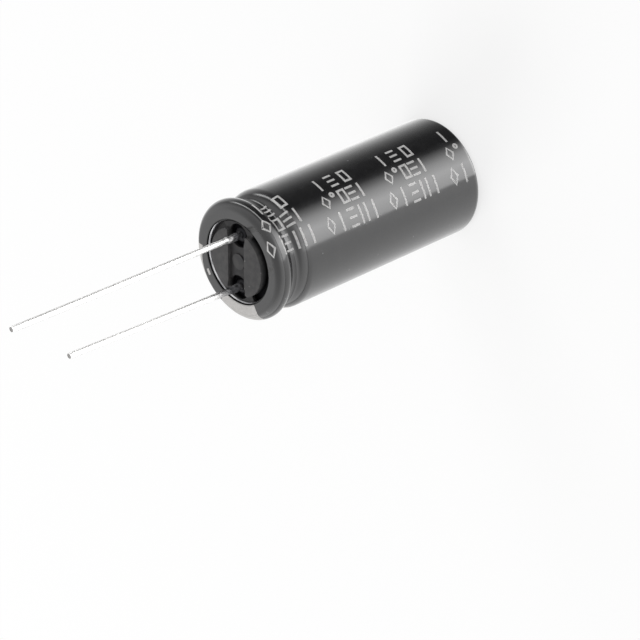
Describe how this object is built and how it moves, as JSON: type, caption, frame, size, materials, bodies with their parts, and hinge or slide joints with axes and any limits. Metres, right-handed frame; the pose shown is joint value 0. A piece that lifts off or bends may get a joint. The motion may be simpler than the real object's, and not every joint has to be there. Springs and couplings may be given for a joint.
{
  "type": "electrolytic capacitor",
  "caption": "Radial aluminium electrolytic capacitor in a black heat-shrunk sleeve, with a beaded and curled rim, a moulded rubber seal and two straight tinned leads.",
  "frame": {"origin": "centre of the closed end, in the plane it stands on", "axes": "+Z along the can's axis from the closed end towards the leads, +X towards the positive (longer) lead"},
  "size_m": [0.0166, 0.0166, 0.0736],
  "materials": {
    "can_aluminium": "drawn, satin",
    "sleeve_film": "glossy shrunk film with pale print",
    "seal_rubber": "moulded, matte",
    "tab_aluminium": "drawn, dull",
    "tinned_wire": "bright tin over steel wire",
    "winding_paper": "paper and foil, soaked",
    "winding_tape": "smooth tape"
  },
  "bodies": {
    "root": {"can": "can_aluminium", "sleeve": "sleeve_film", "rubber_seal": "seal_rubber", "tab_positive": "tab_aluminium", "tab_negative": "tab_aluminium", "lead_positive": "tinned_wire", "lead_negative": "tinned_wire", "wound_element": "winding_paper", "closing_tape": "winding_tape"}
  },
  "joints": []
}
